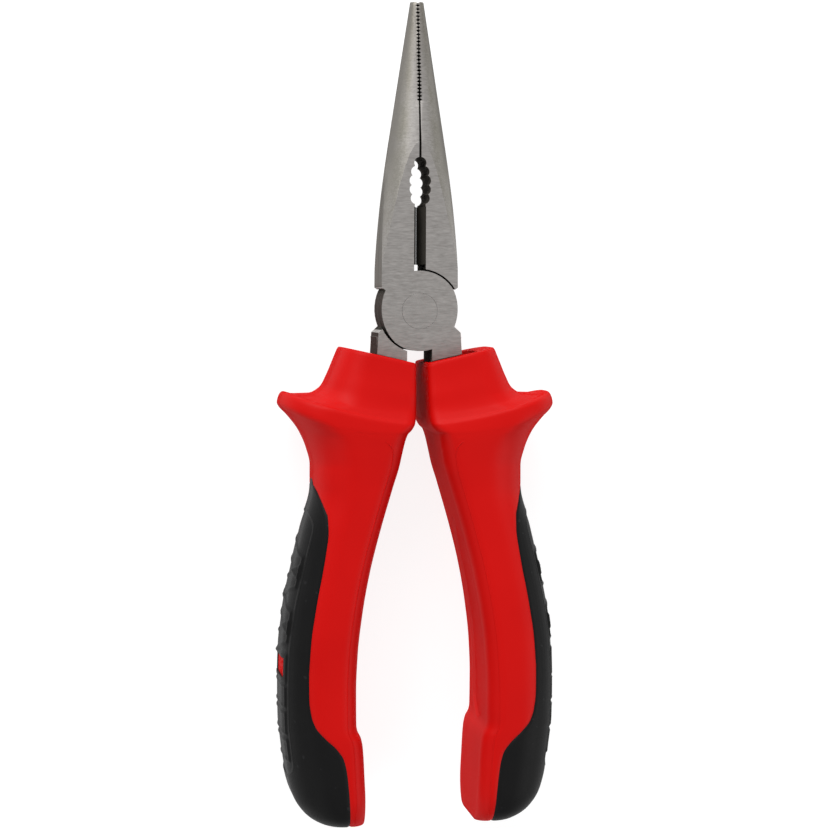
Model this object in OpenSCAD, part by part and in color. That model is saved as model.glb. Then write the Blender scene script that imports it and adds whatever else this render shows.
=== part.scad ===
// Long-nose side-cutting pliers: two forged half-lap levers on a flush rivet, and a hard-core,
// soft-skin grip on each handle. The jaws point along +Y, the pivot axis is +Z through the origin,
// and z = 0 is the ground back face of the joint.

/* [Overall] */
// From the pivot axis to the tips of the jaws
jaw_l = 59.4; // [45:0.1:80]
// From the pivot axis to the ends of the grips
handle_l = 100.2; // [84:0.1:125]
// From the pivot axis out to the widest point of a grip's body
handle_out = 26.7; // [25:0.1:32]

/* [Joint] */
// Thickness of the joint over both lap halves
joint_t = 9; // [7:0.25:11]
// Width of the head across the shoulders of the jaws
joint_w = 14.9; // [14:0.1:18]
// Diameter of each lap disc
disc_d = 15.5; // [14.6:0.1:18.6]
// Gap between a lap disc's rim and the other lever
disc_gap = 0.35; // [0.15:0.05:0.4]
// Gap between the two lap faces
lap_gap = 0.04; // [0.02:0.01:0.1]
// Diameter of the rivet's flush heads
rivet_head_d = 6.9; // [6.2:0.1:8.4]
// Diameter of the rivet's shank
rivet_d = 5.4; // [4.4:0.1:6]
// Depth of the countersink that each rivet head fills
rivet_head_h = 1.6; // [1:0.1:2.5]
// Radial running clearance between the rivet and the moving lever
rivet_gap = 0.04; // [0.02:0.01:0.08]

/* [Jaws] */
// Diameter of the closed jaws at the tips
tip_d = 2.6; // [1.8:0.1:4]
// Gap between the closed jaws at the tips
tip_gap = 0.04; // [0.02:0.01:0.1]
// Gap between the closed jaws where the pipe-grip hole starts
root_gap = 0.45; // [0.1:0.05:0.5]
// Length of the finely toothed faces
teeth_l = 19.3; // [10:0.1:24]
// Pitch of the fine teeth
tooth_pitch = 0.7; // [0.6:0.05:1.2]
// Depth of each tooth's V
tooth_h = 0.4; // [0.2:0.02:0.5]
// Length of the cutting edges
cutter_l = 11.1; // [8:0.1:14]
// Width of the V between the cutting edges, at the face
cutter_w = 2.3; // [1.6:0.1:3]
// Clear space between the foot of the cutting edges and the lap discs
cutter_relief = 1.2; // [0.6:0.1:2]
// Radius of each scallop of the pipe-grip hole
scallop_r = 1.1; // [0.9:0.05:1.4]
// Spacing of the scallops
scallop_pitch = 1.7; // [1.5:0.05:2.1]
// How far the deepest scallops reach from the centre line
scallop_reach = 2.1; // [1.6:0.1:2.8]

/* [Tangs] */
// Gap between the two tangs below the joint
tang_gap = 4.9; // [3.4:0.1:6.4]
// Width of each tang
tang_w = 5.85; // [4.5:0.05:6.5]
// Thickness of each tang inside its grip
tang_t = 7.6; // [5:0.2:8.4]
// Thickness of moulding between the tang and the grip's inner side
tang_cover = 2.5; // [2:0.1:3.5]
// Gap that the moulding leaves round the tang
tang_fit = 0.02; // [0.01:0.01:0.1]

/* [Collar and guard] */
// From the pivot axis down to the inner edge of the collar's rim
collar_y = 10.1; // [9.5:0.1:13]
// How much higher the rim stands at its outer edge
rim_rise = 3.1; // [1:0.1:3.4]
// Width of the collar at its rim
collar_w = 13.5; // [12:0.1:16]
// Thickness of the collar at its rim
collar_t = 16; // [14:0.2:18]
// Gap between the two collars
collar_gap = 2.3; // [2:0.1:3.2]
// From the collar's rim down to the guard's edge
guard_y = 10.9; // [9:0.1:14]
// How far the finger guard stands out from the collar's side
guard_reach = 12.2; // [10:0.1:16]
// Height of the guard's edge
guard_h = 4.3; // [3:0.1:6]
// Thickness of the grip over the guard
guard_t = 22; // [20:0.2:26]

/* [Grip body] */
// Width of the grip's body
body_w = 14.3; // [13:0.1:17]
// Thickness of the grip's body
body_t = 20.2; // [16:0.2:21]
// How far the waist below the guard lies inside the body's widest point
body_bow = 6.3; // [4:0.1:8]
// Height of the step on the inner side near the end
heel_step = 1; // [0.4:0.1:1.6]
// Thickness of the soft skin
skin_t = 1.6; // [1.2:0.1:2.4]
// Radius of the edges along the grip's inner side
inner_r = 2.6; // [1.5:0.1:4]
// Width of the channel in the inner side
channel_w = 9; // [6:0.2:11]
// Depth of the channel in the inner side
channel_h = 0.8; // [0.3:0.1:1.2]
// Height of the window in the skin
window_h = 4.2; // [2:0.1:6]
// Width of the window in the skin
window_w = 10.4; // [5:0.2:12]

/* [Hidden] */
$fn = 96;
eps = 0.01;
slice_h = 0.3;

// A mix of two values, and a smooth curve through a list of points
function mix(a, b, u) = a + (b - a) * u;
function through(p, q, r, s, u) =
    0.5 * (2 * q + (r - p) * u + (2 * p - 5 * q + 4 * r - s) * u * u + (3 * q - p - 3 * r + s) * u * u * u);
function smooth(list, n) = let (last = len(list) - 1) [
    for (i = [0 : last - 1], k = [0 : n - 1])
        through(list[max(i - 1, 0)], list[i], list[i + 1], list[min(i + 2, last)], k / n),
    list[last]
];
function reverse(list) = [for (i = [len(list) - 1 : -1 : 0]) list[i]];

// ---------------------------------------------------------------- jaws
half_t = joint_t / 2;
disc_r = disc_d / 2;
clear_r = disc_r + disc_gap;
shoulder_y = 4.5;
wall_curve = 7.84 / pow(jaw_l - shoulder_y, 2);
wall_end = shoulder_y + 0.4645 * (jaw_l - shoulder_y);
cone_rise = 0.155;
cone_flat = 0.82;
teeth_end = jaw_l - teeth_l;
cutter_y = disc_r + cutter_relief;
cutter_end = cutter_y + cutter_l;
scallops = 5;
hole_y = cutter_end + scallop_pitch * 0.9;
hole_end = hole_y + scallop_pitch * scallops - scallop_pitch * 0.1;

function wall_x(y) = joint_w / 2 - wall_curve * pow(min(y, wall_end) - shoulder_y, 2)
    - 2 * wall_curve * (wall_end - shoulder_y) * max(0, y - wall_end);
function gap_x(y) = mix(tip_gap, root_gap, (jaw_l - y) / (jaw_l - hole_end)) / 2;

// The edge of a toothed face, from the tip down
function teeth() = [
    for (y = [jaw_l : -tooth_pitch : teeth_end]) each [
        if (y < jaw_l) [gap_x(y), y + tooth_pitch / 3],
        [gap_x(y) + tooth_h, y],
        [gap_x(y), y - tooth_pitch / 3]
    ]
];

// One jaw seen from the front, on the +X side of the centre line
module jaw_outline() {
    difference() {
        polygon(concat(
            teeth(),
            [[root_gap / 2, hole_end], [root_gap / 2, cutter_end], [cutter_w / 2, cutter_end],
             [cutter_w / 2, 0], [joint_w / 2 - 1.5, shoulder_y - 1.1], [joint_w / 2, shoulder_y]],
            [for (y = [shoulder_y + 3 : 3 : jaw_l]) [wall_x(y), y]],
            [[wall_x(jaw_l), jaw_l]]
        ));
        scallop_row();
    }
}

// The scalloped half of the pipe-grip hole
module scallop_row() {
    middle = (scallops - 1) / 2 + 0.4;
    for (i = [0 : scallops - 1]) {
        reach = scallop_reach - 0.16 * pow(i - middle + 0.8, 2) * (i < middle ? 0.6 : 1);
        translate([reach - scallop_r, hole_y + i * scallop_pitch])
            circle(r = scallop_r, $fn = 32);
    }
    translate([-1, cutter_end - eps])
        square([1 + cutter_w / 2 - 0.1, hole_end - cutter_end - scallop_pitch]);
}

// What the forged surfaces leave of the jaws: a cone that is less high than wide
module jaw_envelope() {
    foot_y = 5;
    scale([1, 1, cone_flat])
        rotate([-90, 0, 0])
            translate([0, 0, foot_y])
                cylinder(r1 = tip_d / 2 + cone_rise * (jaw_l - foot_y), r2 = tip_d / 2, h = jaw_l - foot_y);
}

// One jaw on the +X side
module jaw() {
    intersection() {
        translate([0, 0, -half_t])
            linear_extrude(joint_t) jaw_outline();
        union() {
            jaw_envelope();
            translate([-joint_w, -5, -half_t])
                cube([2 * joint_w, 5 + shoulder_y + 2, joint_t]);
        }
    }
    cutting_edge();
}

// The wedge whose edge lies at mid-thickness
module cutting_edge() {
    translate([0, cutter_end, 0])
        rotate([90, 0, 0])
            linear_extrude(cutter_l)
                polygon([[tip_gap / 2, 0], [cutter_w / 2 + eps, half_t], [cutter_w / 2 + 0.5, half_t],
                         [cutter_w / 2 + 0.5, -half_t], [cutter_w / 2 + eps, -half_t]]);
}

// ---------------------------------------------------------------- grips
// A station is one slice across a grip: the inner end, the outer end, half the thickness,
// and the radii of the inner and outer corners.
collar_x = collar_gap / 2;
collar_out = collar_x + collar_w;
guard_out = collar_out + guard_reach;
guard_low = collar_y + guard_y;
body_y = guard_low + guard_h * 0.75;
body_l = handle_l - body_y;

function body(v, inward, w, t, ri, ro) =
    let (out = handle_out - inward)
    [out - w, -body_y - v * body_l, out, -body_y - v * body_l, t / 2, ri, ro];

collar_stations = [
    [collar_x, -collar_y, collar_out, -collar_y + rim_rise, collar_t / 2, inner_r, 6],
    [collar_x + 0.1, -collar_y - guard_y * 0.4, collar_out + guard_reach * 0.17,
     -collar_y + rim_rise - guard_y * 0.5, mix(collar_t, guard_t, 0.3) / 2, inner_r, 6.5],
    [collar_x + 0.2, -collar_y - guard_y * 0.68, collar_out + guard_reach * 0.33,
     -collar_y + rim_rise - guard_y * 0.74, mix(collar_t, guard_t, 0.55) / 2, inner_r, 7],
    [collar_x + 0.3, -collar_y - guard_y * 0.85, collar_out + guard_reach * 0.58,
     -collar_y + rim_rise - guard_y * 0.82, mix(collar_t, guard_t, 0.8) / 2, inner_r, 8],
    [collar_x + 0.4, -guard_low + guard_h * 0.2, guard_out - 0.9,
     -guard_low + guard_h * 1.25, guard_t / 2 - 0.2, inner_r, 9],
    [collar_x + 0.6, -guard_low - guard_h * 0.2, guard_out,
     -guard_low + guard_h * 0.72, guard_t / 2, inner_r, 9.5],
    [collar_x + 1, -guard_low - guard_h * 0.5, guard_out - 1.7,
     -guard_low + guard_h * 0.22, guard_t / 2 - 0.4, inner_r, 9]
];

body_stations = smooth([
    body(0, body_bow * 0.7, body_w * 1.34, body_t + 0.5, inner_r, 8.4),
    body(0.055, body_bow * 0.98, body_w * 1.15, body_t, inner_r, 8),
    body(0.13, body_bow * 1.02, body_w * 1.01, body_t, inner_r, 7.6),
    body(0.235, body_bow * 0.7, body_w * 0.99, body_t, inner_r, 7.6),
    body(0.34, body_bow * 0.38, body_w, body_t, inner_r, 7.6),
    body(0.445, body_bow * 0.14, body_w, body_t, inner_r, 7.6),
    body(0.56, 0, body_w, body_t, inner_r, 7.6),
    body(0.72, body_bow * 0.02, body_w - heel_step * 0.3, body_t, inner_r, 7.6),
    body(0.76, body_bow * 0.06, body_w + heel_step * 0.4, body_t, inner_r, 7.6),
    body(0.83, body_bow * 0.15, body_w + heel_step * 0.5, body_t, inner_r, 7.4),
    body(0.915, body_bow * 0.36, body_w - heel_step * 0.5, body_t - 1, inner_r, 6.4),
    body(0.965, body_bow * 0.85, body_w * 0.76, body_t - 4, inner_r, 4.6),
    body(0.99, body_bow * 1.45, body_w * 0.5, body_t - 8.4, 2.4, 2.6),
    body(1, body_bow * 1.8, body_w * 0.28, body_t - 13, 1.6, 1.6)
], 2);

stations = concat(collar_stations, body_stations);

function corner(c, r, from) = [for (k = [0 : 4]) c + r * [cos(from + k * 22.5), sin(from + k * 22.5)]];
function slice_points(l, t, ri, ro) = concat(
    corner([l - ro, ro - t], ro, -90), corner([l - ro, t - ro], ro, 0),
    corner([ri, t - ri], ri, 90), corner([ri, ri - t], ri, 180)
);

// One station with the skin's thickness taken off its outer end, its faces and the grip's end
function inset(s, d) =
    let (l = norm([s[2] - s[0], s[3] - s[1]]), share = d / l, near_end = max(0, 1 - (s[3] + handle_l) / 8))
    [s[0], s[1] + d * near_end, mix(s[2], s[0], share), mix(s[3], s[1], share) + d * near_end,
     s[4] - d, max(s[5] - d, 1), max(s[6] - d, 1)];

module slice(s) {
    translate([s[0], s[1], 0])
        rotate([0, 0, atan2(s[3] - s[1], s[2] - s[0])])
            rotate([90, 0, 0])
                linear_extrude(slice_h, center = true)
                    polygon(slice_points(norm([s[2] - s[0], s[3] - s[1]]), s[4], s[5], s[6]));
}

module loft(list) {
    for (i = [0 : len(list) - 2])
        hull() {
            slice(list[i]);
            slice(list[i + 1]);
        }
}

// The side of a grip that the skin covers, seen from the front. Each point of its edge has a
// share of the body's length and, in from its widest point, shares of the bow and of the width.
skin_edge = smooth([for (p = [
    [0.107, 0.98, 0], [0.155, 0.95, 0.138], [0.185, 0.85, 0.238], [0.233, 0.68, 0.308],
    [0.338, 0.38, 0.345], [0.443, 0.14, 0.346], [0.548, 0, 0.338], [0.65, 0.01, 0.324],
    [0.695, 0.02, 0.345], [0.72, 0.02, 0.4], [0.757, 0.06, 0.566], [0.79, 0.09, 0.71],
    [0.83, 0.14, 0.752], [0.9, 0.2, 0.765], [1.02, 0.2, 0.83]
]) [handle_out - p[1] * body_bow - p[2] * body_w, -body_y - p[0] * body_l]], 3);

module skin_side() {
    far = handle_out + guard_reach;
    polygon(concat([[far, skin_edge[0][1]]], skin_edge, [[far, skin_edge[len(skin_edge) - 1][1]]]));
}

module window() {
    y = -body_y - 0.58 * body_l;
    translate([handle_out - body_w / 2, y - window_h / 2, -window_w / 2])
        cube([body_w, window_h, window_w]);
}

// Everything on the skin's side that lies outside the part of the core under it
module skin_space() {
    difference() {
        translate([0, 0, -guard_t])
            linear_extrude(2 * guard_t) skin_side();
        loft([for (s = stations) inset(s, skin_t)]);
        window();
    }
}

// Skin of the grip on the +X side, about the joint's mid-plane
module grip_skin() {
    intersection() {
        loft(stations);
        skin_space();
    }
}

// The edge of a tang inside its grip, a distance in from the grip's inner side
tang_stations = [for (s = stations) if (s[1] > -handle_l + 14) s];
function tang_edge(s, d) =
    let (dir = [s[2] - s[0], s[3] - s[1]] / norm([s[2] - s[0], s[3] - s[1]]),
         cover = mix(tang_gap / 2 - collar_x, tang_cover, min(1, (-s[1] - collar_y) / (guard_low - collar_y))))
    [s[0], s[1]] + (cover + d) * dir;

module tang_outline(grow = 0) {
    polygon(concat(
        [for (s = tang_stations) tang_edge(s, -grow)],
        [tang_edge(tang_stations[len(tang_stations) - 1], -grow) - [0, grow]],
        [tang_edge(tang_stations[len(tang_stations) - 1], tang_w + grow) - [0, grow]],
        reverse([for (s = tang_stations) tang_edge(s, tang_w + grow)]),
        [[tang_gap / 2 + tang_w + grow, -collar_y + rim_rise + 2], [tang_gap / 2 - grow, -collar_y + rim_rise + 2]]
    ));
}

// The channel along the inner side of a core
module channel() {
    from = -body_y - 0.24 * body_l;
    to = -body_y - 0.71 * body_l;
    inner = [for (s = stations) if (s[1] < from && s[1] > to) [s[0], s[1]]];
    translate([0, 0, -channel_w / 2])
        linear_extrude(channel_w)
            polygon(concat([for (p = inner) p + [channel_h, 0]], reverse([for (p = inner) p - [5, 0]])));
}

// Core of the grip on the +X side, about the joint's mid-plane
module grip_core() {
    difference() {
        loft(stations);
        skin_space();
        translate([0, 0, -tang_t / 2 - tang_fit])
            linear_extrude(tang_t + 2 * tang_fit) tang_outline(tang_fit);
        channel();
    }
}

// ---------------------------------------------------------------- levers
// The lap disc, with its sides ground to the width of the head
module disc_outline() {
    side_r = 9;
    intersection() {
        circle(r = disc_r);
        translate([side_r - joint_w / 2, 0.3])
            circle(r = side_r);
        translate([joint_w / 2 - side_r, 0.3])
            circle(r = side_r);
    }
}

// The ground part of a tang, from the disc down to the collar's rim
function rim_at(x) = -collar_y + 0.52 * slice_h + rim_rise * (x - collar_x) / collar_w;
module tang_root() {
    inside = tang_gap / 2;
    out = inside + tang_w;
    polygon([[inside, -2], [inside, rim_at(inside)], [out, rim_at(out)], [out - 0.25, -4.2],
             [joint_w / 2 - 0.7, -3], [joint_w / 2 - 2, -2]]);
}

// The front lever about the joint's mid-plane: the jaw at -X, the tang at +X
module lever(bore_gap) {
    difference() {
        union() {
            difference() {
                union() {
                    mirror([1, 0, 0]) jaw();
                    translate([0, 0, -half_t])
                        linear_extrude(joint_t) tang_root();
                    translate([0, 0, -tang_t / 2])
                        linear_extrude(tang_t) tang_outline();
                }
                translate([0, 0, -half_t - 1])
                    cylinder(r = clear_r, h = half_t + 1 + lap_gap / 2);
            }
            translate([0, 0, lap_gap / 2])
                linear_extrude(half_t - lap_gap / 2) disc_outline();
        }
        rivet(bore_gap);
    }
}

// The rivet, flush with both faces, or the hole that it runs in
module rivet(gap = 0) {
    translate([0, 0, -half_t - (gap > 0 ? eps : 0)])
        cylinder(r = rivet_d / 2 + gap, h = joint_t + (gap > 0 ? 2 * eps : 0));
    for (side = [0, 1])
        mirror([0, 0, side])
            translate([0, 0, half_t - rivet_head_h])
                cylinder(r1 = rivet_d / 2 + gap, r2 = rivet_head_d / 2 + gap, h = rivet_head_h);
}

module at_joint() {
    translate([0, 0, half_t]) children();
}

module front_lever() {
    color([0.62, 0.61, 0.59]) at_joint() lever(rivet_gap);
}

module rear_lever() {
    color([0.58, 0.57, 0.55]) at_joint() rotate([0, 180, 0]) lever(0);
}

module pivot_rivet() {
    color([0.7, 0.69, 0.67]) at_joint() rivet();
}

module left_grip_core() {
    color([0.79, 0.08, 0.06]) at_joint() mirror([1, 0, 0]) grip_core();
}

module left_grip_skin() {
    color([0.12, 0.12, 0.12]) at_joint() mirror([1, 0, 0]) grip_skin();
}

module right_grip_core() {
    color([0.79, 0.08, 0.06]) at_joint() grip_core();
}

module right_grip_skin() {
    color([0.12, 0.12, 0.12]) at_joint() grip_skin();
}

front_lever();
rear_lever();
pivot_rivet();
left_grip_core();
left_grip_skin();
right_grip_core();
right_grip_skin();
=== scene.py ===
"""Long-nose pliers: two ground steel levers on a rivet, with red grips in a black soft skin.

Lengths are in millimetres in the row frame: +Y to the tips, +X right, +Z to the front. The joint's
mid-plane lies at z = MID. Blender's own meshes, lights and materials are in metres. The levers and
the rivet show as their CAD solids, and finer meshes replace the four grip pieces.
"""

import math

import bmesh
import bpy
import numpy as np
from mathutils import Matrix, Vector


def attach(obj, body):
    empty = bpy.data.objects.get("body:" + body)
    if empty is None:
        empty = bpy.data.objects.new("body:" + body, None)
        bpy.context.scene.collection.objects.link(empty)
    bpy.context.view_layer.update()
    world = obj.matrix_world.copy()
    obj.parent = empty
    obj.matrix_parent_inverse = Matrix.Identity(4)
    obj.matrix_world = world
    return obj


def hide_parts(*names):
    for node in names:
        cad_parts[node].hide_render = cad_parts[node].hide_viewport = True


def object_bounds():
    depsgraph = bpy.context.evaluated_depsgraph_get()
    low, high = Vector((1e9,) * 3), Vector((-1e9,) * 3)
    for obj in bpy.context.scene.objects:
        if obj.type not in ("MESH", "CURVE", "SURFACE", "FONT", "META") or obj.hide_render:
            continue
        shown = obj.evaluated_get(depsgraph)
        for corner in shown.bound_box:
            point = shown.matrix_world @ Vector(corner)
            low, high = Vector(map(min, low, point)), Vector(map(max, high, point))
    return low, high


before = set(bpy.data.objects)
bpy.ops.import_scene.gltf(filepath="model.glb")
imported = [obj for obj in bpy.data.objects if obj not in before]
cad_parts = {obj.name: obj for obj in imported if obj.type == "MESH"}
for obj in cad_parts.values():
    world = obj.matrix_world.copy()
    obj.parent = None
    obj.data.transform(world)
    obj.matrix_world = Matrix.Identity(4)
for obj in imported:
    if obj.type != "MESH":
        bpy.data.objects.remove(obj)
cad_low, cad_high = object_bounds()

MM = 0.001
MID = 4.5
WELD = 2e-6  # points closer than this, in metres, become one
SHARP_DEG = 38  # a grip's edge is sharp from this angle
BEAD_SIDES = 8


# ------------------------------------------------------------------ helpers
def steps(a, b, x):
    """0 below a, 1 above b, smooth between."""
    u = np.clip((np.asarray(x, float) - a) / (b - a), 0, 1)
    return u * u * (3 - 2 * u)


def inside(x, low, high, soft):
    """1 between low and high, 0 outside, with soft edges."""
    rise = steps(low - soft / 2, low + soft / 2, x)
    return rise * (1 - steps(high - soft / 2, high + soft / 2, x))


def monotone(xs, ys, x):
    """A smooth curve through points that never overshoots them. ys may have several columns."""
    xs, x = np.asarray(xs, float), np.asarray(x, float)
    ys = np.asarray(ys, float)
    flat = ys.ndim == 1
    if flat:
        ys = ys[:, None]
    h = np.diff(xs)[:, None]
    d = np.diff(ys, axis=0) / h
    m = np.zeros_like(ys)
    same = d[:-1] * d[1:] > 0
    w1, w2 = 2 * h[1:] + h[:-1], h[1:] + 2 * h[:-1]
    with np.errstate(divide="ignore", invalid="ignore"):
        mean = (w1 + w2) / (w1 / d[:-1] + w2 / d[1:])
    m[1:-1] = np.where(same, mean, 0)
    m[0], m[-1] = d[0], d[-1]
    i = np.clip(np.searchsorted(xs, x, side="right") - 1, 0, len(xs) - 2)
    u = ((x - xs[i]) / h[i, 0])[:, None]
    out = (
        ys[i] * (1 + 2 * u) * (1 - u) ** 2
        + m[i] * h[i] * u * (1 - u) ** 2
        + ys[i + 1] * u * u * (3 - 2 * u)
        + m[i + 1] * h[i] * u * u * (u - 1)
    )
    return out[:, 0] if flat else out


def grid_faces(rows, cols, start=0, closed=False):
    """Quads over a grid of points stored row by row."""
    last = cols if closed else cols - 1
    return [
        (
            start + i * cols + j,
            start + i * cols + (j + 1) % cols,
            start + (i + 1) * cols + (j + 1) % cols,
            start + (i + 1) * cols + j,
        )
        for i in range(rows - 1)
        for j in range(last)
    ]


def grid_normals(p):
    """Unit normals of a grid of points, shape (rows, cols, 3)."""
    du = np.gradient(p, axis=0)
    dv = np.gradient(p, axis=1)
    n = np.cross(du, dv)
    return n / np.maximum(np.linalg.norm(n, axis=2, keepdims=True), 1e-9)


def tube(line, normals, radius, lift):
    """A thin bead along a line on a surface, tapered at both ends: points and faces."""
    line = np.asarray(line, float)
    along = np.gradient(line, axis=0)
    along /= np.maximum(np.linalg.norm(along, axis=1, keepdims=True), 1e-9)
    side = np.cross(along, normals)
    side /= np.maximum(np.linalg.norm(side, axis=1, keepdims=True), 1e-9)
    around = np.linspace(0, 2 * math.pi, BEAD_SIDES, endpoint=False)
    ends = np.minimum(np.arange(len(line)), np.arange(len(line))[::-1])
    r = radius * np.clip((ends + 0.2) / 4, 0.05, 1)
    middle = line + normals * lift
    pts = (
        middle[:, None]
        + side[:, None] * (np.cos(around)[None, :, None] * r[:, None, None])
        + normals[:, None] * (np.sin(around)[None, :, None] * r[:, None, None])
    )
    return pts.reshape(-1, 3), grid_faces(len(line), BEAD_SIDES, closed=True)


class Build:
    """Gathers grids and beads, in millimetres, into one mesh."""

    def __init__(self):
        self.points, self.faces = [], []
        self.count = 0

    def add(self, points, faces):
        points = np.asarray(points, float).reshape(-1, 3)
        self.points.append(points)
        self.faces += [tuple(k + self.count for k in f) for f in faces]
        self.count += len(points)

    def grid(self, p, closed=False, flip=False):
        faces = grid_faces(p.shape[0], p.shape[1], closed=closed)
        if flip:
            faces = [f[::-1] for f in faces]
        self.add(p, faces)

    def make(self, name, mirrored, material, body, nodes):
        """The gathered mesh as an object on a body, in place of the CAD nodes."""
        p = np.concatenate(self.points)
        if mirrored:
            p = p * np.array([-1, 1, 1])
        mesh = bpy.data.meshes.new(name)
        mesh.from_pydata((p * MM).tolist(), [], self.faces)
        obj = bpy.data.objects.new(name, mesh)
        bpy.context.scene.collection.objects.link(obj)
        bm = bmesh.new()
        bm.from_mesh(mesh)
        bmesh.ops.remove_doubles(bm, verts=bm.verts, dist=WELD)
        bmesh.ops.dissolve_degenerate(bm, edges=bm.edges, dist=1e-7)
        if mirrored:
            bmesh.ops.reverse_faces(bm, faces=bm.faces)
        for f in bm.faces:
            f.smooth = True
        bm.to_mesh(mesh)
        bm.free()
        mesh.set_sharp_from_angle(angle=math.radians(SHARP_DEG))
        mesh.materials.append(material)
        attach(obj, body)
        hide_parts(*nodes)


# ------------------------------------------------------------------ materials
# Colours are linear RGB. A pair is the darker and the lighter end of a mottled colour.
RED_BASE = (0.50, 0.0022, 0.0015), (0.545, 0.0032, 0.0022)
BLACK_BASE = (0.0036, 0.0036, 0.0038), (0.0054, 0.0053, 0.0054)
DUST = (0.02, 0.02, 0.021)
GROUND_FACE = (0.275, 0.26, 0.248), (0.405, 0.387, 0.372)
JAW_FLANK = (0.205, 0.193, 0.162), (0.31, 0.296, 0.258)
TIP = (0.165, 0.150, 0.125)
# the sides' colours: matt forged steel darkened by painted shade, browner below the joint
JAW_SIDE_DULL_SHADE = (0.155, 0.147, 0.135)
ROOT_SIDE_DULL_SHADE = (0.058, 0.048, 0.044)
SHADED = (0.042, 0.038, 0.032)


def material(name):
    m = bpy.data.materials.new(name)
    m.use_nodes = True
    nodes, links = m.node_tree.nodes, m.node_tree.links
    shader = nodes["Principled BSDF"]
    place = nodes.new("ShaderNodeTexCoord")
    return m, nodes, links, shader, place


def noise(nodes, links, place, scale, size=(1, 1, 1), detail=3.0, rough=0.55):
    at = nodes.new("ShaderNodeMapping")
    at.inputs["Scale"].default_value = size
    links.new(place.outputs["Object"], at.inputs["Vector"])
    n = nodes.new("ShaderNodeTexNoise")
    n.inputs["Scale"].default_value = scale
    n.inputs["Detail"].default_value = detail
    n.inputs["Roughness"].default_value = rough
    links.new(at.outputs["Vector"], n.inputs["Vector"])
    return n.outputs["Fac"]


def ramp(nodes, links, fac, low, high, colours):
    """A colour that runs between the two colours as fac goes from low to high."""
    r = nodes.new("ShaderNodeValToRGB")
    for stop, position, colour in zip(r.color_ramp.elements, (low, high), colours):
        stop.position = position
        stop.color = (*colour, 1)
    links.new(fac, r.inputs["Fac"])
    return r.outputs["Color"]


def maths(nodes, links, op, a, b=None, clamp=False):
    n = nodes.new("ShaderNodeMath")
    n.operation = op
    n.use_clamp = clamp
    for k, v in enumerate((a, b)):
        if v is None:
            continue
        if isinstance(v, (int, float)):
            n.inputs[k].default_value = v
        else:
            links.new(v, n.inputs[k])
    return n.outputs[0]


def spread(nodes, links, fac, a, b, low, high):
    """From low to high as fac goes from a to b, eased at both ends."""
    n = nodes.new("ShaderNodeMapRange")
    n.interpolation_type = "SMOOTHSTEP"
    for k, v in (("From Min", a), ("From Max", b), ("To Min", low), ("To Max", high)):
        n.inputs[k].default_value = v
    links.new(fac, n.inputs["Value"])
    return n.outputs["Result"]


def mixed(nodes, links, fac, a, b):
    n = nodes.new("ShaderNodeMix")
    n.data_type = "RGBA"
    links.new(fac, n.inputs[0])
    for k, v in ((6, a), (7, b)):
        if isinstance(v, tuple):
            n.inputs[k].default_value = (*v, 1)
        else:
            links.new(v, n.inputs[k])
    return n.outputs[2]


def bump(nodes, links, height, strength, distance):
    n = nodes.new("ShaderNodeBump")
    n.inputs["Strength"].default_value = strength
    n.inputs["Distance"].default_value = distance
    links.new(height, n.inputs["Height"])
    return n.outputs["Normal"]


def gloss(nodes, links, shader, level):
    """Specular level, which fades where the surface turns away. An export that drops the fade
    falls back to the level itself."""
    shader.inputs["Specular IOR Level"].default_value = level
    facing = nodes.new("ShaderNodeLayerWeight")
    facing.inputs["Blend"].default_value = 0.5
    fade = spread(nodes, links, facing.outputs["Facing"], 0.35, 0.85, level, level * 0.03)
    links.new(fade, shader.inputs["Specular IOR Level"])


def red_plastic():
    m, nodes, links, shader, place = material("red_satin_plastic")
    cloud = noise(nodes, links, place, 55, detail=2)
    grain = noise(nodes, links, place, 5200, detail=2)
    base = ramp(nodes, links, cloud, 0.3, 0.7, RED_BASE)
    links.new(base, shader.inputs["Base Color"])
    links.new(spread(nodes, links, grain, 0.3, 0.7, 0.46, 0.56), shader.inputs["Roughness"])
    gloss(nodes, links, shader, 0.11)
    links.new(bump(nodes, links, grain, 0.16, 0.00006), shader.inputs["Normal"])
    return m


def black_skin():
    m, nodes, links, shader, place = material("black_soft_plastic")
    cloud = noise(nodes, links, place, 70, detail=3)
    grain = noise(nodes, links, place, 6500, detail=3)
    specks = noise(nodes, links, place, 900, detail=0)
    base = ramp(nodes, links, cloud, 0.3, 0.7, BLACK_BASE)
    dusty = spread(nodes, links, specks, 0.79, 0.83, 0.0, 0.5)
    links.new(mixed(nodes, links, dusty, base, DUST), shader.inputs["Base Color"])
    links.new(spread(nodes, links, grain, 0.3, 0.7, 0.5, 0.64), shader.inputs["Roughness"])
    shader.inputs["Specular IOR Level"].default_value = 0.14
    links.new(bump(nodes, links, grain, 0.22, 0.00008), shader.inputs["Normal"])
    return m


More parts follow.
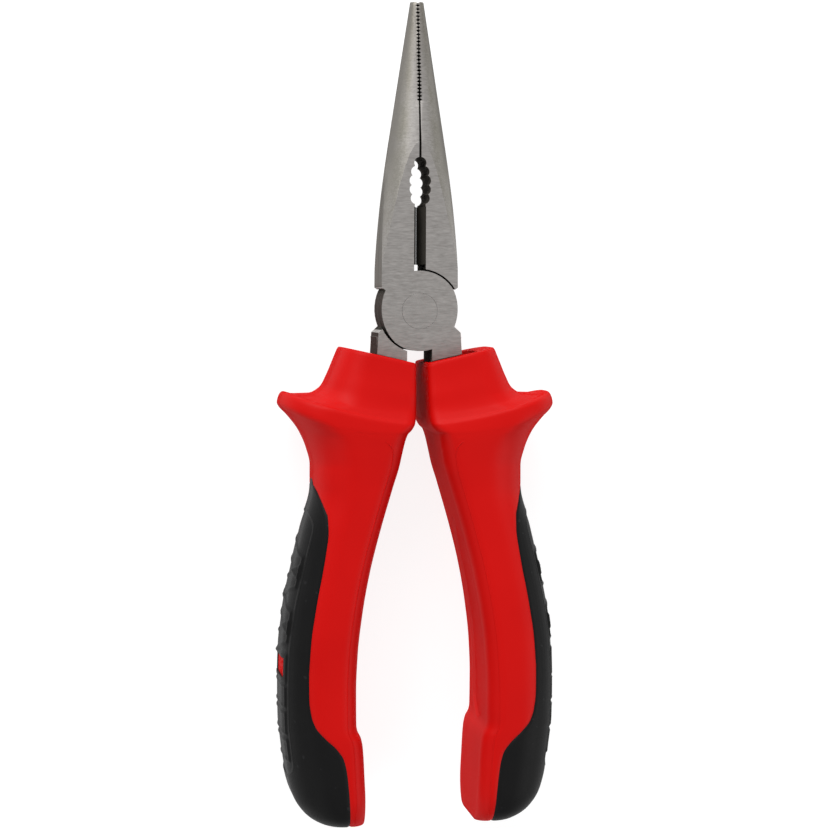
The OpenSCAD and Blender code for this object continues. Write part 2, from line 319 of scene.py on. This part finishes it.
def steel(name, ground):
    """Ground steel with fine lines across it, matt forged sides, and painted shade on the sides,
    edges, teeth and laps.

    Places are in metres, in the row frame.
    """
    m, nodes, links, shader, place = material(name)

    def do(op, a, b=None):
        return maths(nodes, links, op, a, b)

    def mul(a, b):
        return do("MULTIPLY", a, b)

    def ease(fac, low, high, start, end):
        return spread(nodes, links, fac, low, high, start, end)

    def blend(fac, a, b):
        return mixed(nodes, links, fac, a, b)

    def parts(vector):
        n = nodes.new("ShaderNodeSeparateXYZ")
        links.new(vector, n.inputs["Vector"])
        return n.outputs["X"], n.outputs["Y"], n.outputs["Z"]

    lines = noise(nodes, links, place, 8200, (0.11, 1, 1) if ground else (1, 1, 1), rough=0.7)
    wide = noise(nodes, links, place, 3300, (0.16, 1, 1), detail=2)
    cloud = noise(nodes, links, place, 420, (1, 0.5, 1), detail=4)
    both = do("ADD", mul(lines, 0.55), mul(wide, 0.45))
    fine = ramp(nodes, links, both, 0.34, 0.66, GROUND_FACE)
    warm = ramp(nodes, links, both, 0.34, 0.66, JAW_FLANK)
    x, y, z = parts(place.outputs["Object"])
    normal_x, _, normal_z = parts(nodes.new("ShaderNodeNewGeometry").outputs["Normal"])
    sideways = do("ABSOLUTE", normal_x)
    upright = do("ABSOLUTE", normal_z)
    across = do("ABSOLUTE", x)

    # the rounded flanks of the jaws: a little warmer, in clouds, and darker towards the tips
    flank = mul(ease(upright, 0.86, 0.995, 1.0, 0.0), ease(y, 0.006, 0.026, 0.0, 0.9))
    colour = blend(mul(flank, ease(cloud, 0.3, 0.7, 0.55, 1.0)), fine, warm)
    colour = blend(ease(y, 0.036, 0.060, 0.0, 0.55), colour, TIP)

    # the outer sides, and the jaws' flanks as they turn sideways: matt forged steel with painted
    # shade on it, browner below the joint
    lower_side_dull_shade = mul(ease(sideways, 0.72, 0.96, 0.0, 1.0), ease(y, 0.022, 0.034, 1.0, 0.0))
    jaw_side_dull_shade = mul(ease(sideways, 0.5, 0.9, 0.0, 0.85), ease(y, 0.018, 0.032, 0.0, 1.0))
    side_dull_shade = do("MAXIMUM", lower_side_dull_shade, jaw_side_dull_shade)
    side_dull_shade_colour = blend(ease(y, 0.003, 0.0055, 1.0, 0.0), JAW_SIDE_DULL_SHADE, ROOT_SIDE_DULL_SHADE)
    colour = blend(side_dull_shade, colour, side_dull_shade_colour)

    # cutting edges, scallops, teeth and the gap between the tangs: nearly black, as painted shade
    # over some blackened oxide
    steep = ease(upright, 0.3, 0.6, 1.0, 0.0)
    reach = ease(y, 0.0298, 0.0301, 0.00265, 0.00046)
    near = ease(do("SUBTRACT", across, reach), -0.00006, 0.00006, 1.0, 0.0)
    off_disc = ease(do("ABSOLUTE", y), 0.0072, 0.0076, 0.0, 1.0)
    slot_shade = mul(mul(steep, near), off_disc)

    # painted shade in the gaps: the walls round the discs, and the faces where the levers overlap
    from_axis = do("SQRT", do("ADD", mul(across, across), mul(y, y)))
    inner = ease(from_axis, 0.0083, 0.0084, 1.0, 0.0)
    ring = mul(mul(steep, inner), ease(sideways, 0.9, 0.97, 1.0, 0.35))
    from_mid = do("ABSOLUTE", do("SUBTRACT", z, MID * MM))
    lap_shade = ease(from_mid, 0.00006, 0.00012, 1.0, 0.0)
    # all the painted shade together, over the colour: cutting edges and teeth, disc walls and
    # overlapping faces
    shade_mask = do("MAXIMUM", do("MAXIMUM", slot_shade, ring), mul(lap_shade, 0.85))
    links.new(blend(shade_mask, colour, SHADED), shader.inputs["Base Color"])

    # bare metal, and its gloss, only away from the painted shade and the matt sides
    bare_unshaded = maths(nodes, links, "SUBTRACT", 1.0, do("MAXIMUM", shade_mask, side_dull_shade), clamp=True)
    links.new(mul(bare_unshaded, 0.62), shader.inputs["Metallic"])
    rough = do("ADD", ease(bare_unshaded, 0.0, 1.0, 0.78, 0.43), ease(both, 0.3, 0.7, 0.0, 0.1))
    links.new(rough, shader.inputs["Roughness"])
    gloss(nodes, links, shader, 0.17)
    links.new(bump(nodes, links, both, 0.15, 0.00003), shader.inputs["Normal"])
    return m


RED = red_plastic()
BLACK = black_skin()
STEEL = steel("brushed_steel", True)
RIVET = steel("rivet_steel", False)


# ------------------------------------------------------------------ grips
# Stations: the sections of the grip at +X, from the collar down. One row each: inner end x, y,
# outer end x, y, half the thickness, inner and outer radius, and how far the line between the
# ends sags.
STATIONS = np.array([
    [1.15, -10.0, 14.9, -6.95, 8.0, 1.0, 5.2, 0.0],
    [1.18, -13.0, 16.1, -9.9, 8.3, 1.1, 5.4, 0.1],
    [1.22, -16.0, 17.3, -12.7, 8.8, 1.2, 6.0, 0.3],
    [1.28, -18.2, 18.55, -14.8, 9.3, 1.3, 6.8, 0.5],
    [1.36, -19.8, 20.8, -15.95, 9.85, 1.4, 7.8, 0.7],
    [1.46, -20.9, 24.0, -16.0, 10.35, 1.5, 8.8, 0.85],
    [1.55, -21.4, 25.9, -15.6, 10.65, 1.6, 9.4, 0.95],
    [1.65, -21.7, 26.45, -16.0, 10.85, 1.7, 9.5, 1.0],
    [2.0, -22.4, 27.0, -17.8, 10.95, 2.0, 9.6, 1.3],
    [2.3, -22.85, 26.75, -18.4, 10.93, 2.2, 9.5, 1.35],
    [2.9, -23.5, 25.1, -20.2, 10.8, 2.5, 9.2, 1.2],
    [3.3, -24.7, 22.75, -23.3, 10.55, 2.8, 8.8, 0.7],
    [3.75, -26.8, 21.3, -26.6, 10.3, 3.0, 8.4, 0.2],
    [4.4, -30.0, 20.5, -30.0, 10.05, 3.2, 8.0, 0.0],
    [5.6, -34.0, 20.5, -34.0, 9.9, 3.3, 7.8, 0.0],
    [7.95, -42.0, 22.6, -42.0, 9.95, 3.3, 7.8, 0.0],
    [10.0, -50.0, 24.45, -50.0, 10.15, 3.3, 7.8, 0.0],
    [11.5, -58.0, 26.0, -58.0, 10.45, 3.3, 7.8, 0.0],
    [12.45, -66.0, 26.8, -66.0, 10.7, 3.3, 7.8, 0.0],
    [12.75, -73.0, 26.9, -73.0, 10.8, 3.3, 7.8, 0.0],
    [12.72, -79.4, 26.8, -79.4, 10.84, 3.2, 7.8, 0.0],
    [12.55, -80.5, 26.75, -80.5, 10.86, 3.1, 7.8, 0.0],
    [11.9, -81.9, 26.6, -81.9, 10.88, 2.9, 7.8, 0.0],
    [11.55, -83.6, 26.4, -83.6, 10.88, 2.8, 7.8, 0.0],
    [11.15, -90.0, 25.5, -90.0, 10.86, 2.8, 7.8, 0.0],
    [10.95, -94.0, 24.35, -94.0, 10.7, 2.8, 7.6, 0.0],
    [10.9, -97.0, 22.35, -97.0, 9.9, 2.7, 6.6, 0.0],
    [10.9, -98.6, 20.3, -98.6, 8.8, 2.5, 5.2, 0.0],
    [11.0, -99.35, 18.6, -99.35, 7.6, 2.3, 3.8, 0.0],
    [11.25, -99.7, 16.9, -99.7, 6.1, 1.7, 2.7, 0.0],
    [11.9, -99.95, 15.3, -99.95, 4.4, 1.0, 1.3, 0.0],
])

# The edge of the black skin on the front and back faces: y and x
EDGE = np.array([
    [-32.4, 20.75], [-34, 20.35], [-36, 19.3], [-38.5, 18.5], [-42, 18.35], [-46, 18.85],
    [-50, 19.55], [-54, 20.35], [-58, 21.05], [-62, 21.65], [-66, 22.0], [-70, 22.2],
    [-74, 22.15], [-77, 21.75], [-79.2, 20.95], [-81.4, 19.05], [-83.4, 16.95], [-85.4, 15.6],
    [-88, 14.95], [-92, 14.5], [-96, 14.2], [-100.4, 13.95],
])
SKIN_TOP = EDGE[0, 0]
RIM_R, RIM_STEPS, LIP_CLEAR = 0.4, 6, 0.15  # the collar's rounded lip

# Points across the core's half of a section and the skin's half, and the distance between sections
N_CORE = 54
N_SKIN = 64
STEP = 0.3

# Extra sections just below the skin's top, and how far down they stand in for the others
TOP_ROWS = (0.001, 0.12, 0.3)
TOP_CLEAR = 0.34

# A section: steps round a corner and along the flat, the most that a radius takes of the width,
# and how much the flat is crowned
CORNER_STEPS, FLAT_STEPS = 16, 9
INNER_MOST, OUTER_MOST = 0.45, 0.54
CROWN, CROWN_MEAN = 0.018, 0.55

# The guard is a little thinner towards its inner side
GUARD_THIN, GUARD_LOW, GUARD_HIGH, GUARD_SOFT = 0.045, -23.0, -17.5, 4.0

# The arch at the skin's top: its width per root of the depth below the top, and its slope
ARCH, ARCH_SLOPE = 2.4, 0.5

# The moulded panel on the skin: half width, top, end, the heights of their rounding, and depth
PANEL_W, PANEL_TOP, PANEL_END = 7.2, -38.3, -90.3
TOP_ARC, END_ARC = 4.0, 3.4
PANEL_SINK = 0.2

# The framed pads on the panel: heights of their middles, half height and width outside and inside
# the frame, and how far the frame rises, the middle dips and the pad slants
PITCH = 5.3
PADS = [-47.3 - PITCH * k for k in range(8)]
PAD_OUTER, PAD_INNER, PAD_SOFT = (2.25, 6.2), (1.65, 5.6), 0.45
PAD_RISE, PAD_DISH, PAD_SLANT = 0.23, 0.17, 0.3

# The window stands in for one pad: half height and width of its frame and its hole, and how deep
# the top and the foot of the core's boss lie in it
WINDOW = 4
WINDOW_Y = PADS[WINDOW]
WINDOW_FRAME, FRAME_SOFT = (2.75, 6.3), 0.4
WINDOW_HOLE = (2.0, 5.3)
BOSS_SINK, BOSS_FOOT = 0.36, 1.5

# The recess along the inner side: its ends, the heights of their rounding, half width and depth
CHANNEL_LOW, CHANNEL_HIGH = -80.2, -40.5
LOW_ARC, HIGH_ARC = 3.6, 7.0
CHANNEL_W, CHANNEL_SOFT, CHANNEL_DEPTH = 5.0, 1.2, 0.4
CHANNEL_REACH = 6.4, 1.2  # it stays within this distance of the middle and of the inner side

# Where core and skin meet: the depth of the groove in each, the groove's width, and how far the
# skin stands proud
CORE_GROOVE, SKIN_GROOVE, GROOVE_W = 0.16, 0.18, 0.3
SKIN_PROUD = 0.03

# Under the skin: how deep the core's seat and the skin's back lie, and how far both are lifted
# off the grip's end, which they near from END_FROM on
SEAT, SKIN_BACK = 1.3, 1.25
SEAT_LIFT, BACK_LIFT = 1.2, 1.15
END_FROM, END_RUN = 97.0, 3.0

# The core's parting line: its distance in from the inner side, how far its top curls outwards and
# over what run, where it starts, where the curl is full and where it ends
SEAM_IN, SEAM_CURL, CURL_RUN = 2.1, 3.9, 1.1
SEAM_TOP, SEAM_CURL_Y, SEAM_END = -24.4, -24.0, -99.4

# Beads, radius and height: the one on the parting line, and the one round the skin's panel, which
# runs BEAD_OUT outside it
SEAM_BEAD = 0.14, -0.04
PANEL_BEAD = 0.12, -0.05
BEAD_OUT = 0.3
ARC_STEPS, SIDE_STEPS = 24, 130

# The collar's top from the lip into the pocket where the tang comes out. One row per ring: inner
# and outer end across the collar, half the thickness, inner and outer radius, and depth.
POCKET = (
    (0.15, 10.35, 5.6, 0.9, 2.6, 0.02),
    (0.3, 10.2, 5.45, 0.8, 2.5, 0.15),
    (0.4, 10.0, 5.3, 0.8, 2.4, 1.3),
    (4.0, 5.0, 0.5, 0.3, 0.3, 1.3),
)


def dense_stations():
    """The sections at even steps, with the collar's rounded lip first."""
    s = STATIONS
    gap = np.sqrt((np.diff(s[:, :4], axis=0) ** 2).sum(1) / 2)
    at = np.concatenate([[0], np.cumsum(gap)])
    fine = []
    for a, b in zip(at[:-1], at[1:]):
        fine.append(np.linspace(a, b, max(2, int((b - a) / STEP) + 1), endpoint=False))
    out = monotone(at, s, np.concatenate(fine + [at[-1:]]))
    k = int(np.argmax(out[:, 1] < SKIN_TOP))
    extra = monotone(-out[:, 1], out, -SKIN_TOP + np.array(TOP_ROWS))
    near = (out[:, 1] < SKIN_TOP) & (out[:, 1] > SKIN_TOP - TOP_CLEAR)
    out = np.concatenate([out[:k], extra, out[k:][~near[k:]]])
    rows = []
    for a in np.linspace(0, math.pi / 2, RIM_STEPS)[:-1]:
        rows.append(shrink(s[0], RIM_R * (1 - math.sin(a)), RIM_R * (1 - math.cos(a))))
    first = shrink(s[0], 0, RIM_R)
    return np.concatenate([rows, [first], out[out[:, 1] < first[1] - LIP_CLEAR]])


def shrink(row, d, down):
    """A station drawn in by d on every side and moved down the handle by down."""
    xi, yi, xo, yo, t, ri, ro, sag = row
    run = math.hypot(xo - xi, yo - yi)
    ux, uy = (xo - xi) / run, (yo - yi) / run
    return np.array([
        xi + ux * d + uy * down, yi + uy * d - ux * down,
        xo - ux * d + uy * down, yo - uy * d - ux * down,
        t - d, max(ri - d, 0.3), max(ro - d, 0.3), sag,
    ])


def half_profile(run, t, ri, ro):
    """Points (across, z) round the front half of a section, from inner middle to outer middle."""
    ri, ro = min(ri, t, run * INNER_MOST), min(ro, t, run * OUTER_MOST)
    a = np.linspace(0, math.pi / 2, CORNER_STEPS)
    inner = np.c_[ri - ri * np.cos(a), t - ri + ri * np.sin(a)]
    outer = np.c_[run - ro + ro * np.sin(a), t - ro + ro * np.cos(a)]
    across = np.linspace(inner[-1, 0], outer[0, 0], FLAT_STEPS)[1:-1]
    top = np.c_[across, np.full(len(across), t)]
    p = np.concatenate([[[0, 0]], inner, top, outer, [[run, 0]]])
    q = p[:, 0] / run
    p[:, 1] *= 1 + CROWN * (4 * q * (1 - q) - CROWN_MEAN)
    return p


def along(p):
    """Distance of each point along a line of points."""
    return np.concatenate([[0], np.cumsum(np.linalg.norm(np.diff(p, axis=0), axis=1))])


def grip_arrays():
    """Grids of the grip at +X: the core's part and the skin's part of each section."""
    rows = dense_stations()
    core, skin, across_skin, has_skin = [], [], [], []
    for xi, yi, xo, yo, t, ri, ro, sag in rows:
        run = math.hypot(xo - xi, yo - yi)
        prof = half_profile(run, t, ri, ro)
        guard = inside(yi, GUARD_LOW, GUARD_HIGH, GUARD_SOFT)
        prof[:, 1] *= 1 - GUARD_THIN * guard * (1 - prof[:, 0] / run)
        s = along(prof)
        s_cut = s[-1]
        skinned = yi < SKIN_TOP
        if skinned:
            edge = monotone(-EDGE[:, 0], EDGE[:, 1], np.array([-yi]))[0]
            cut = min(max(edge - xi, 0.4), run - 1e-4)
            k = int(np.argmax(prof[:, 0] >= cut))
            share = (cut - prof[k - 1, 0]) / (prof[k, 0] - prof[k - 1, 0])
            below = SKIN_TOP - yi
            arch = s[-1] - ARCH * math.sqrt(below) - ARCH_SLOPE * below
            s_cut = max(s[k - 1] + share * (s[k] - s[k - 1]), arch)
        s1 = np.linspace(0, s_cut, N_CORE)
        s2 = np.linspace(s_cut, s[-1], N_SKIN)

        def place(at, sign):
            w = np.interp(at, s, prof[:, 0])
            z = np.interp(at, s, prof[:, 1]) * sign
            q = w / run
            return np.c_[
                xi + (xo - xi) * q, yi + (yo - yi) * q - sag * 4 * q * (1 - q), z + MID
            ]

        core.append(np.concatenate([place(s1[::-1], -1), place(s1[1:], 1)]))
        skin.append(np.concatenate([place(s2, 1), place(s2[::-1][1:], -1)]))
        across_skin.append(np.concatenate([s[-1] - s2, -(s[-1] - s2[::-1][1:])]))
        has_skin.append(skinned)
    return rows, np.array(core), np.array(skin), np.array(across_skin), np.array(has_skin)


def panel_width(y):
    """Half the moulded panel's width round the outer side at height y."""
    top = np.clip((PANEL_TOP - y) / TOP_ARC, 0, 1)
    end = np.clip((y - PANEL_END) / END_ARC, 0, 1)
    return PANEL_W * np.sqrt(top * (2 - top)) * np.sqrt(end * (2 - end))


def block(v, a, half, soft):
    """1 inside a soft-edged rectangle about the origin, of the given half height and width."""
    return inside(v, -half[0], half[0], soft) * inside(a, -half[1], half[1], soft)


def relief(y, a):
    """Height of the soft skin's moulded panel: a shallow recess with slanted, framed pads."""
    width = panel_width(y)
    panel = steps(0, 0.5, width - np.abs(a)) * (width > 0.6)
    h = -PANEL_SINK * panel
    for k, at in enumerate(PADS):
        if k == WINDOW:
            h = h + panel * PANEL_SINK * block(y - at, a, WINDOW_FRAME, FRAME_SOFT)
            continue
        slant = 0.0 if k > WINDOW else (PAD_SLANT if k % 2 else -PAD_SLANT)
        v = y - at - slant * a
        outer = block(v, a, PAD_OUTER, PAD_SOFT)
        inner = block(v, a, PAD_INNER, PAD_SOFT)
        h = h + panel * (PAD_RISE * outer - PAD_DISH * inner)
    return h


def channel(y, z):
    """Height of the recess along the inner side, below zero."""
    low = np.sqrt(np.clip((y - CHANNEL_LOW) / LOW_ARC, 0, 1))
    high = np.sqrt(np.clip((CHANNEL_HIGH - y) / HIGH_ARC, 0, 1))
    return -CHANNEL_DEPTH * steps(0, CHANNEL_SOFT, CHANNEL_W * (low * high) - np.abs(z - MID))


def grip_normals(rows, core, skin, skinned):
    """Outward normals of the core's part and the skin's part of each section."""
    whole = np.concatenate([core, skin[:, 1:-1]], axis=1)
    ring = np.concatenate([whole[:, -1:], whole, whole[:, :1]], axis=1)
    n_whole = grid_normals(ring)[:, 1:-1]
    n_core = n_whole[:, : core.shape[1]].copy()
    n_skin = np.concatenate([n_core[:, -1:], n_whole[:, core.shape[1]:], n_core[:, :1]], axis=1)
    # in a section without skin the skin's points fall together, so the way outwards stands in
    bare = ~skinned
    ux, uy = rows[:, 2] - rows[:, 0], rows[:, 3] - rows[:, 1]
    out_dir = np.c_[ux / np.hypot(ux, uy), uy / np.hypot(ux, uy), np.zeros(len(rows))]
    n_core[bare, 0] = out_dir[bare]
    n_core[bare, -1] = out_dir[bare]
    n_skin[bare] = out_dir[bare, None]
    return n_core, n_skin


def end_share(rows):
    """0 above the last of the grip, 1 at its end."""
    return np.clip((-rows[:, 1] - END_FROM) / END_RUN, 0, 1)


def close_end(last):
    """The flat end of a grid whose last row is given: its points drawn in to the mid-plane."""
    end = last.copy()
    end[:, 2] = MID
    return np.stack([last, end])


def make_core(name, body, mirrored, node, rows, core, skin, n_core, n_skin, skinned, window):
    """The hard red moulding: its own surface, a seat under the skin and a boss in the window."""
    half = (core.shape[1] + 1) // 2
    z = core[:, :, 2]
    from_half = np.abs(np.arange(core.shape[1]) - (half - 1))[None, :]
    near_inner = (
        (from_half < N_CORE * 0.6)
        & (np.abs(z - MID) < CHANNEL_REACH[0])
        & (core[:, :, 0] < rows[:, 0:1] + CHANNEL_REACH[1])
    )
    part = core + n_core * (channel(core[:, :, 1], z) * near_inner)[:, :, None]
    edge_dist = np.linalg.norm(core - core[:, -1:], axis=2)
    edge_dist = np.minimum(edge_dist, np.linalg.norm(core - core[:, :1], axis=2))
    dip = CORE_GROOVE * np.exp(-((edge_dist / GROOVE_W) ** 2)) * skinned[:, None]
    part -= n_core * dip[:, :, None]
    seat = skin - n_skin * (SEAT * skinned)[:, None, None]
    seat[:, :, 1] += (SEAT_LIFT * end_share(rows))[:, None]
    b = Build()
    tube_all = np.concatenate([part, seat], axis=1)
    b.grid(tube_all, closed=True)
    b.grid(close_end(tube_all[-1]), closed=True)
    add_rim(b, rows[0])
    for sign in (1, -1):
        b.add(*tube(*seam_line(rows, core, n_core, half, sign), *SEAM_BEAD))
    i0, i1, j0, j1 = window
    boss = skin[i0 : i1 + 1, j0 : j1 + 1]
    n_boss = n_skin[i0 : i1 + 1, j0 : j1 + 1]
    top = boss - n_boss * BOSS_SINK
    foot = boss - n_boss * BOSS_FOOT
    b.grid(top)
    for edge_top, edge_foot in (
        (top[0], foot[0]), (top[-1][::-1], foot[-1][::-1]),
        (top[:, 0][::-1], foot[:, 0][::-1]), (top[:, -1], foot[:, -1]),
    ):
        b.grid(np.stack([edge_foot, edge_top]))
    b.make(name, mirrored, RED, body, [node])


def make_skin(name, body, mirrored, node, rows, skin, n_skin, a, skinned, window):
    """The black overmould: moulded outside, with a back, closed edges and a window."""
    on = np.where(skinned)[0]
    sk, ns, aa = skin[on], n_skin[on], a[on]
    from_edge = np.minimum(
        np.linalg.norm(sk - sk[:, :1], axis=2), np.linalg.norm(sk - sk[:, -1:], axis=2)
    )
    from_edge = np.minimum(from_edge, np.abs(sk[:, :, 1] - SKIN_TOP) * 1.5)
    groove = SKIN_GROOVE * np.exp(-((from_edge / GROOVE_W) ** 2))
    h = relief(sk[:, :, 1], aa) - groove + SKIN_PROUD
    outer = sk + ns * h[:, :, None]
    under = sk - ns * SKIN_BACK
    under[:, :, 1] += (BACK_LIFT * end_share(rows[on]))[:, None]
    i0, i1, j0, j1 = window
    h0, h1 = i0 - on[0], i1 - on[0]
    r, c = outer.shape[:2]
    hole = np.zeros((r - 1, c - 1), bool)
    hole[h0:h1, j0:j1] = True
    faces = [
        (i * c + j, i * c + j + 1, (i + 1) * c + j + 1, (i + 1) * c + j)
        for i in range(r - 1)
        for j in range(c - 1)
        if not hole[i, j]
    ]
    b = Build()
    b.add(outer, faces)
    b.add(under, [f[::-1] for f in faces])
    b.grid(np.stack([under[:, 0], outer[:, 0]]), flip=True)
    b.grid(np.stack([under[:, -1], outer[:, -1]]))
    b.grid(np.stack([under[0], outer[0]]))
    for line in (
        (slice(h0, h0 + 1), slice(j0, j1 + 1)), (slice(h1, h1 + 1), slice(j0, j1 + 1)),
        (slice(h0, h1 + 1), slice(j0, j0 + 1)), (slice(h0, h1 + 1), slice(j1, j1 + 1)),
    ):
        b.grid(np.stack([under[line].reshape(-1, 3), outer[line].reshape(-1, 3)]))
    b.grid(close_end(outer[-1]))
    side_y, side_a = panel_outline()
    for sign in (1, -1):
        line, normal = on_grid(sk, ns, aa, side_y, side_a * sign)
        b.add(*tube(line, normal, *PANEL_BEAD))
    b.make(name, mirrored, BLACK, body, [node])


def panel_outline():
    """Heights, and distances round, of the raised line along one side of the panel."""
    turn = np.linspace(0, math.pi / 2, ARC_STEPS)
    top = PANEL_TOP - TOP_ARC * (1 - np.cos(turn))
    end = PANEL_END + END_ARC * (1 - np.cos(turn[::-1]))
    between = np.linspace(top[-1], end[0], SIDE_STEPS)[1:-1]
    width = PANEL_W + BEAD_OUT
    return np.concatenate([top, between, end]), np.concatenate(
        [np.sin(turn) * width, np.full(len(between), width), np.sin(turn[::-1]) * width]
    )


def make_grip(side, body, mirrored):
    """The core and the skin of one grip. The left one is the right one mirrored."""
    rows, core, skin, a, skinned = grip_arrays()
    n_core, n_skin = grip_normals(rows, core, skin, skinned)
    keep = np.where(np.abs(rows[:, 1] - WINDOW_Y) < WINDOW_HOLE[0])[0]
    i0, i1 = keep[0], keep[-1]
    cols = np.where(np.abs(a[(i0 + i1) // 2]) < WINDOW_HOLE[1])[0]
    window = i0, i1, cols[0], cols[-1]
    make_core(
        f"{side}_grip_core_fine", body, mirrored, f"{side}_grip_core",
        rows, core, skin, n_core, n_skin, skinned, window,
    )
    make_skin(
        f"{side}_grip_skin_fine", body, mirrored, f"{side}_grip_skin",
        rows, skin, n_skin, a, skinned, window,
    )


def on_grid(p, n, a, ys, widths):
    """Points and normals on the skin at heights ys and distances round from the outer middle."""
    pts, nor = [], []
    y_rows = p[:, p.shape[1] // 2, 1]
    for y, w in zip(ys, widths):
        i = int(np.clip(np.searchsorted(-y_rows, -y) - 1, 0, len(y_rows) - 2))
        u = np.clip((y_rows[i] - y) / max(y_rows[i] - y_rows[i + 1], 1e-9), 0, 1)
        both = []
        for k in (i, i + 1):
            order = a[k][::-1]
            both.append([
                np.array([np.interp(w, order, p[k][::-1][:, c]) for c in range(3)]),
                np.array([np.interp(w, order, n[k][::-1][:, c]) for c in range(3)]),
            ])
        pts.append(both[0][0] * (1 - u) + both[1][0] * u)
        v = both[0][1] * (1 - u) + both[1][1] * u
        nor.append(v / np.linalg.norm(v))
    return np.array(pts), np.array(nor)


def seam_line(rows, core, normals, half, sign):
    """The parting line: a little in from the inner side, and curled outwards below the guard."""
    pts, nor = [], []
    start = np.argmax(rows[:, 1] < SEAM_TOP)
    for i in range(start, len(rows)):
        y = rows[i, 1]
        if y < SEAM_END:
            break
        w = SEAM_IN + SEAM_CURL * math.exp(-max(0, SEAM_CURL_Y - y) / CURL_RUN)
        part = core[i, half - 1 :] if sign > 0 else core[i, :half][::-1]
        n = normals[i, half - 1 :] if sign > 0 else normals[i, :half][::-1]
        x = part[:, 0] - rows[i, 0]
        k = int(np.argmax((x >= w) & (np.abs(part[:, 2] - MID) > 4)))
        k = max(k, 1)
        u = np.clip((w - x[k - 1]) / max(x[k] - x[k - 1], 1e-9), 0, 1)
        pts.append(part[k - 1] * (1 - u) + part[k] * u)
        v = n[k - 1] * (1 - u) + n[k] * u
        nor.append(v / np.linalg.norm(v))
    return np.array(pts), np.array(nor)


def add_rim(b, row):
    """The top of the collar: a lip, and a shallow pocket where the tang comes out."""
    xi, yi, xo, yo, t, ri, ro = row[:7]
    run = math.hypot(xo - xi, yo - yi)
    ux, uy = (xo - xi) / run, (yo - yi) / run

    def ring(low, high, t, ri, ro, down):
        prof = half_profile(high - low, t, ri, ro)
        s = along(prof)
        s1 = np.linspace(0, s[-1], N_CORE)

        def place(at, sign):
            w = np.interp(at, s, prof[:, 0]) + low
            z = np.interp(at, s, prof[:, 1]) * sign
            return np.c_[xi + ux * w + uy * down, yi + uy * w - ux * down, z + MID]

        return np.concatenate([place(s1[::-1], -1), place(s1[1:], 1)])[:-1]

    rings = [ring(0, run, t, ri, ro, 0)] + [ring(*row) for row in POCKET]
    b.grid(np.stack(rings), closed=True, flip=True)


make_grip("right", "front_half", False)
make_grip("left", "rear_half", True)

# ------------------------------------------------------------------ steel
EDGE_R, EDGE_DEG = 0.09, 32  # the small round on every edge of the steel

for node, mat in (("front_lever", STEEL), ("rear_lever", STEEL), ("pivot_rivet", RIVET)):
    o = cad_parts[node]
    o.data.materials.clear()
    o.data.materials.append(mat)
    weld = o.modifiers.new("weld", "WELD")
    weld.merge_threshold = WELD
    edge = o.modifiers.new("edge", "BEVEL")
    edge.width = EDGE_R * MM
    edge.segments = 2
    edge.limit_method = "ANGLE"
    edge.angle_limit = math.radians(EDGE_DEG)
    edge.harden_normals = True

# ------------------------------------------------------------------ stage
FLOOR_GAP, FLOOR_HALF = 0.1, 4  # millimetres below the part, metres to each side

floor_z = cad_low.z - FLOOR_GAP * MM
corners = [
    (x * FLOOR_HALF, y * FLOOR_HALF, floor_z) for x, y in ((-1, -1), (1, -1), (1, 1), (-1, 1))
]
mesh = bpy.data.meshes.new("floor")
mesh.from_pydata(corners, [], [(0, 1, 2, 3)])
floor = bpy.data.objects.new("floor", mesh)
bpy.context.scene.collection.objects.link(floor)
pale = bpy.data.materials.new("pale_floor")
pale.use_nodes = True
shade = pale.node_tree.nodes["Principled BSDF"]
shade.inputs["Base Color"].default_value = (0.24, 0.24, 0.24, 1)
shade.inputs["Emission Color"].default_value = (1, 1, 1, 1)
shade.inputs["Emission Strength"].default_value = 0.86
shade.inputs["Roughness"].default_value = 0.9
shade.inputs["Specular IOR Level"].default_value = 0.1
mesh.materials.append(pale)

world = bpy.data.worlds.new("studio")
bpy.context.scene.world = world
world.use_nodes = True
world.node_tree.nodes["Background"].inputs["Color"].default_value = (1, 1, 1, 1)
world.node_tree.nodes["Background"].inputs["Strength"].default_value = 0.3


def area(name, place, aim, size, power):
    """A soft light, in metres and watts."""
    data = bpy.data.lights.new(name, "AREA")
    data.shape = "RECTANGLE"
    data.size, data.size_y = size
    data.energy = power
    o = bpy.data.objects.new(name, data)
    o.location = place
    o.rotation_euler = (Vector(aim) - Vector(place)).to_track_quat("-Z", "Y").to_euler()
    bpy.context.scene.collection.objects.link(o)


area("key", (-0.25, 0.75, 0.55), (0, -0.02, 0), (0.9, 0.5), 11.2)
area("low", (-0.5, -0.6, 0.5), (0, -0.03, 0), (0.6, 0.6), 1.6)
area("fill", (0.75, -0.3, 0.6), (0, -0.02, 0), (0.6, 0.6), 3.6)

# ------------------------------------------------------------------ camera
TURN, TILT, ROLL = math.radians(10.29), math.radians(3.37), math.radians(0.2)
AWAY = 0.383  # metres from the point it looks at

aim = Vector((-0.26, -20.15, MID)) * MM
back = Vector((-math.sin(TURN) * math.cos(TILT), math.sin(TILT), math.cos(TURN) * math.cos(TILT)))
right = Vector((math.cos(TURN), 0, math.sin(TURN)))
up = back.cross(right)
tip_right = right * math.cos(ROLL) + up * math.sin(ROLL)
tip_up = up * math.cos(ROLL) - right * math.sin(ROLL)
data = bpy.data.cameras.new("camera")
data.sensor_width = 36
data.lens = 85.2
data.clip_start, data.clip_end = 0.01, 20
camera = bpy.data.objects.new("camera", data)
bpy.context.scene.collection.objects.link(camera)
spin = Matrix((tip_right, tip_up, back)).transposed().to_4x4()
camera.matrix_world = Matrix.Translation(aim + back * AWAY) @ spin
bpy.context.scene.camera = camera
bpy.context.scene.view_settings.view_transform = "Standard"
